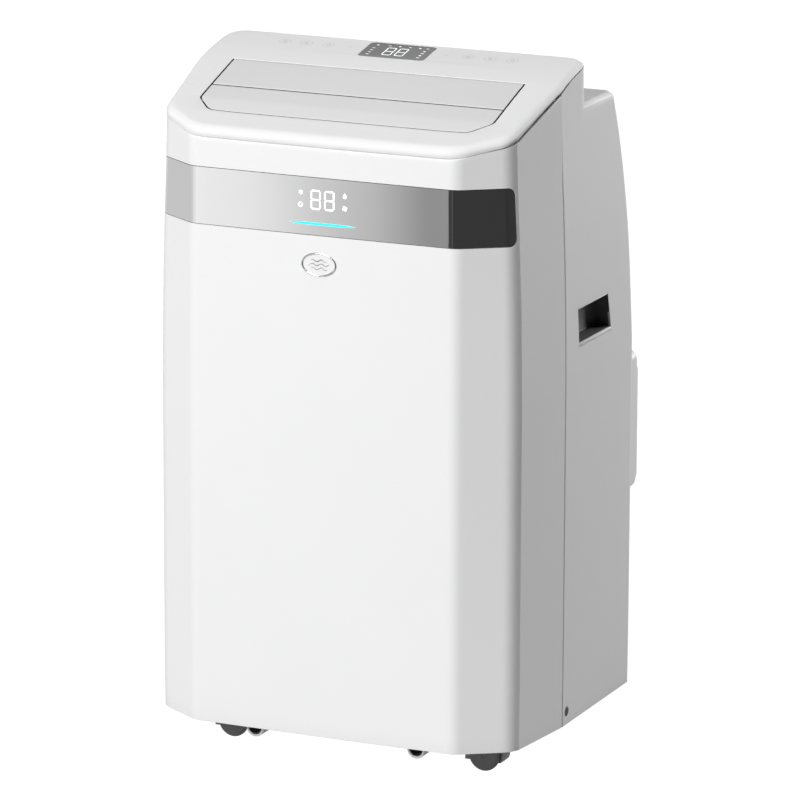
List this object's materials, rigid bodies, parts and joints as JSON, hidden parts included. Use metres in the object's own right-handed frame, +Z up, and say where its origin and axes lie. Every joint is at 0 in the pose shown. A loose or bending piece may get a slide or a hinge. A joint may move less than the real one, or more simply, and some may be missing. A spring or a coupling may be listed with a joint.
{
  "type": "portable air conditioner",
  "caption": "Freestanding portable air conditioner on castors, with louvred top outlet, mirror display band, side handles, rear intake grilles and exhaust collar.",
  "frame": {"origin": "floor point under the middle of the bounding box", "axes": "+X to the viewer's right when facing the front, +Y to the back of the cabinet, +Z up"},
  "size_m": [0.442, 0.383, 0.7639],
  "materials": {
    "white_plastic": "satin moulded plastic",
    "mirror_trim": "silvered plastic trim, glossy",
    "light_guide": "translucent cyan light guide, lit",
    "board_green": "printed circuit board",
    "satin_grey": "satin grey moulded plastic",
    "dark_lens": "glossy tinted lens",
    "dark_plastic": "fine grained dark plastic",
    "steel": "zinc plated steel",
    "inner_plastic": "plain grey moulded plastic",
    "rubber": "matt rubber",
    "fin_aluminium": "thin fins",
    "foam_white": "expanded polystyrene",
    "black_paint": "black enamel",
    "copper": "bare copper tube"
  },
  "bodies": {
    "cabinet": {"front_panel": "white_plastic", "rear_cover": "white_plastic", "top_cover": "white_plastic", "exhaust_housing": "white_plastic", "front_band": "mirror_trim", "front_light_bar": "light_guide", "front_display_board": "board_green", "control_board": "board_green", "front_badge": "satin_grey", "control_lens": "dark_lens", "outlet_duct": "dark_plastic", "handle_cup_left": "dark_plastic", "handle_cup_right": "dark_plastic", "cord_gland": "dark_plastic", "louvre_motor": "steel", "rear_screw_1": "steel", "rear_screw_2": "steel", "rear_screw_3": "steel", "rear_screw_4": "steel", "side_screw_left": "steel", "side_screw_right": "steel", "evaporator_motor": "steel", "condenser_motor": "steel", "slinger_motor": "steel", "control_box": "steel", "base_pan": "inner_plastic", "condensate_sump": "inner_plastic", "condenser_scroll": "inner_plastic", "rear_foot_left": "rubber", "rear_foot_right": "rubber", "compressor_mount": "rubber", "evaporator_coil": "fin_aluminium", "condenser_coil": "fin_aluminium", "evaporator_scroll": "foam_white", "drip_tray": "foam_white", "compressor": "black_paint", "accumulator": "black_paint", "discharge_pipe": "copper", "suction_pipe": "copper", "filter_drier": "copper"},
    "louvre_front": {"louvre_front": "satin_grey"},
    "louvre_rear": {"louvre_rear": "satin_grey"},
    "evaporator_fan": {"evaporator_wheel": "satin_grey"},
    "condenser_fan": {"condenser_wheel": "satin_grey"},
    "slinger": {"slinger_wheel": "satin_grey"},
    "upper_intake_door": {"upper_intake_grille": "white_plastic", "upper_filter": "dark_plastic"},
    "lower_intake_door": {"lower_intake_grille": "white_plastic", "lower_filter": "dark_plastic"},
    "upper_drain_cap": {"upper_drain_cap": "dark_plastic"},
    "lower_drain_cap": {"lower_drain_cap": "dark_plastic"},
    "exhaust_collar": {"exhaust_collar": "dark_plastic"},
    "castor_swivel_front_left": {"castor_hood_front_left": "dark_plastic"},
    "castor_roll_front_left": {"castor_wheel_front_left": "dark_plastic"},
    "castor_swivel_front_right": {"castor_hood_front_right": "dark_plastic"},
    "castor_roll_front_right": {"castor_wheel_front_right": "dark_plastic"},
    "castor_swivel_rear_left": {"castor_hood_rear_left": "dark_plastic"},
    "castor_roll_rear_left": {"castor_wheel_rear_left": "dark_plastic"},
    "castor_swivel_rear_right": {"castor_hood_rear_right": "dark_plastic"},
    "castor_roll_rear_right": {"castor_wheel_rear_right": "dark_plastic"}
  },
  "joints": [
    {"name": "louvre_front_pivot", "type": "hinge", "parent": "cabinet", "child": "louvre_front", "pos_m": [0, -0.12865, 0.71465], "axis": [1, 0, 0], "range_deg": [0, 65]},
    {"name": "louvre_rear_pivot", "type": "hinge", "parent": "cabinet", "child": "louvre_rear", "pos_m": [0, -0.07635, 0.73224], "axis": [1, 0, 0], "range_deg": [0, 65]},
    {"name": "evaporator_fan_spin", "type": "hinge", "parent": "cabinet", "child": "evaporator_fan", "pos_m": [-0.096, -0.0391, 0.56], "axis": [1, 0, 0], "continuous": true},
    {"name": "condenser_fan_spin", "type": "hinge", "parent": "cabinet", "child": "condenser_fan", "pos_m": [0.082, -0.0041, 0.24], "axis": [1, 0, 0], "continuous": true},
    {"name": "slinger_spin", "type": "hinge", "parent": "cabinet", "child": "slinger", "pos_m": [0, 0.0789, 0.086], "axis": [0, 1, 0], "continuous": true},
    {"name": "upper_intake_hinge", "type": "hinge", "parent": "cabinet", "child": "upper_intake_door", "pos_m": [0, 0.1443, 0.453], "axis": [-1, 0, 0], "range_deg": [0, 60]},
    {"name": "lower_intake_hinge", "type": "hinge", "parent": "cabinet", "child": "lower_intake_door", "pos_m": [-0.078, 0.1453, 0.177], "axis": [-1, 0, 0], "range_deg": [0, 60]},
    {"name": "upper_drain_pull", "type": "slide", "parent": "cabinet", "child": "upper_drain_cap", "axis": [0, 1, 0], "range_m": [0, 0.02]},
    {"name": "lower_drain_pull", "type": "slide", "parent": "cabinet", "child": "lower_drain_cap", "axis": [0, 1, 0], "range_m": [0, 0.02]},
    {"name": "exhaust_collar_pull", "type": "slide", "parent": "cabinet", "child": "exhaust_collar", "axis": [0, 1, 0], "range_m": [0, 0.04]},
    {"name": "castor_swivel_front_left", "type": "hinge", "parent": "cabinet", "child": "castor_swivel_front_left", "pos_m": [-0.138, -0.0824, 0.041], "axis": [0, 0, 1], "continuous": true},
    {"name": "castor_roll_front_left", "type": "hinge", "parent": "castor_swivel_front_left", "child": "castor_roll_front_left", "pos_m": [-0.15, -0.0824, 0.0175], "axis": [0, 1, 0], "continuous": true},
    {"name": "castor_swivel_front_right", "type": "hinge", "parent": "cabinet", "child": "castor_swivel_front_right", "pos_m": [0.138, -0.0824, 0.041], "axis": [0, 0, 1], "continuous": true},
    {"name": "castor_roll_front_right", "type": "hinge", "parent": "castor_swivel_front_right", "child": "castor_roll_front_right", "pos_m": [0.15, -0.0824, 0.0175], "axis": [0, 1, 0], "continuous": true},
    {"name": "castor_swivel_rear_left", "type": "hinge", "parent": "cabinet", "child": "castor_swivel_rear_left", "pos_m": [-0.138, 0.0959, 0.041], "axis": [0, 0, 1], "continuous": true},
    {"name": "castor_roll_rear_left", "type": "hinge", "parent": "castor_swivel_rear_left", "child": "castor_roll_rear_left", "pos_m": [-0.15, 0.0959, 0.0175], "axis": [0, 1, 0], "continuous": true},
    {"name": "castor_swivel_rear_right", "type": "hinge", "parent": "cabinet", "child": "castor_swivel_rear_right", "pos_m": [0.138, 0.0959, 0.041], "axis": [0, 0, 1], "continuous": true},
    {"name": "castor_roll_rear_right", "type": "hinge", "parent": "castor_swivel_rear_right", "child": "castor_roll_rear_right", "pos_m": [0.15, 0.0959, 0.0175], "axis": [0, 1, 0], "continuous": true}
  ],
  "couplings": [
    {"joint": "louvre_rear_pivot", "follows": "louvre_front_pivot", "ratio": 1}
  ]
}
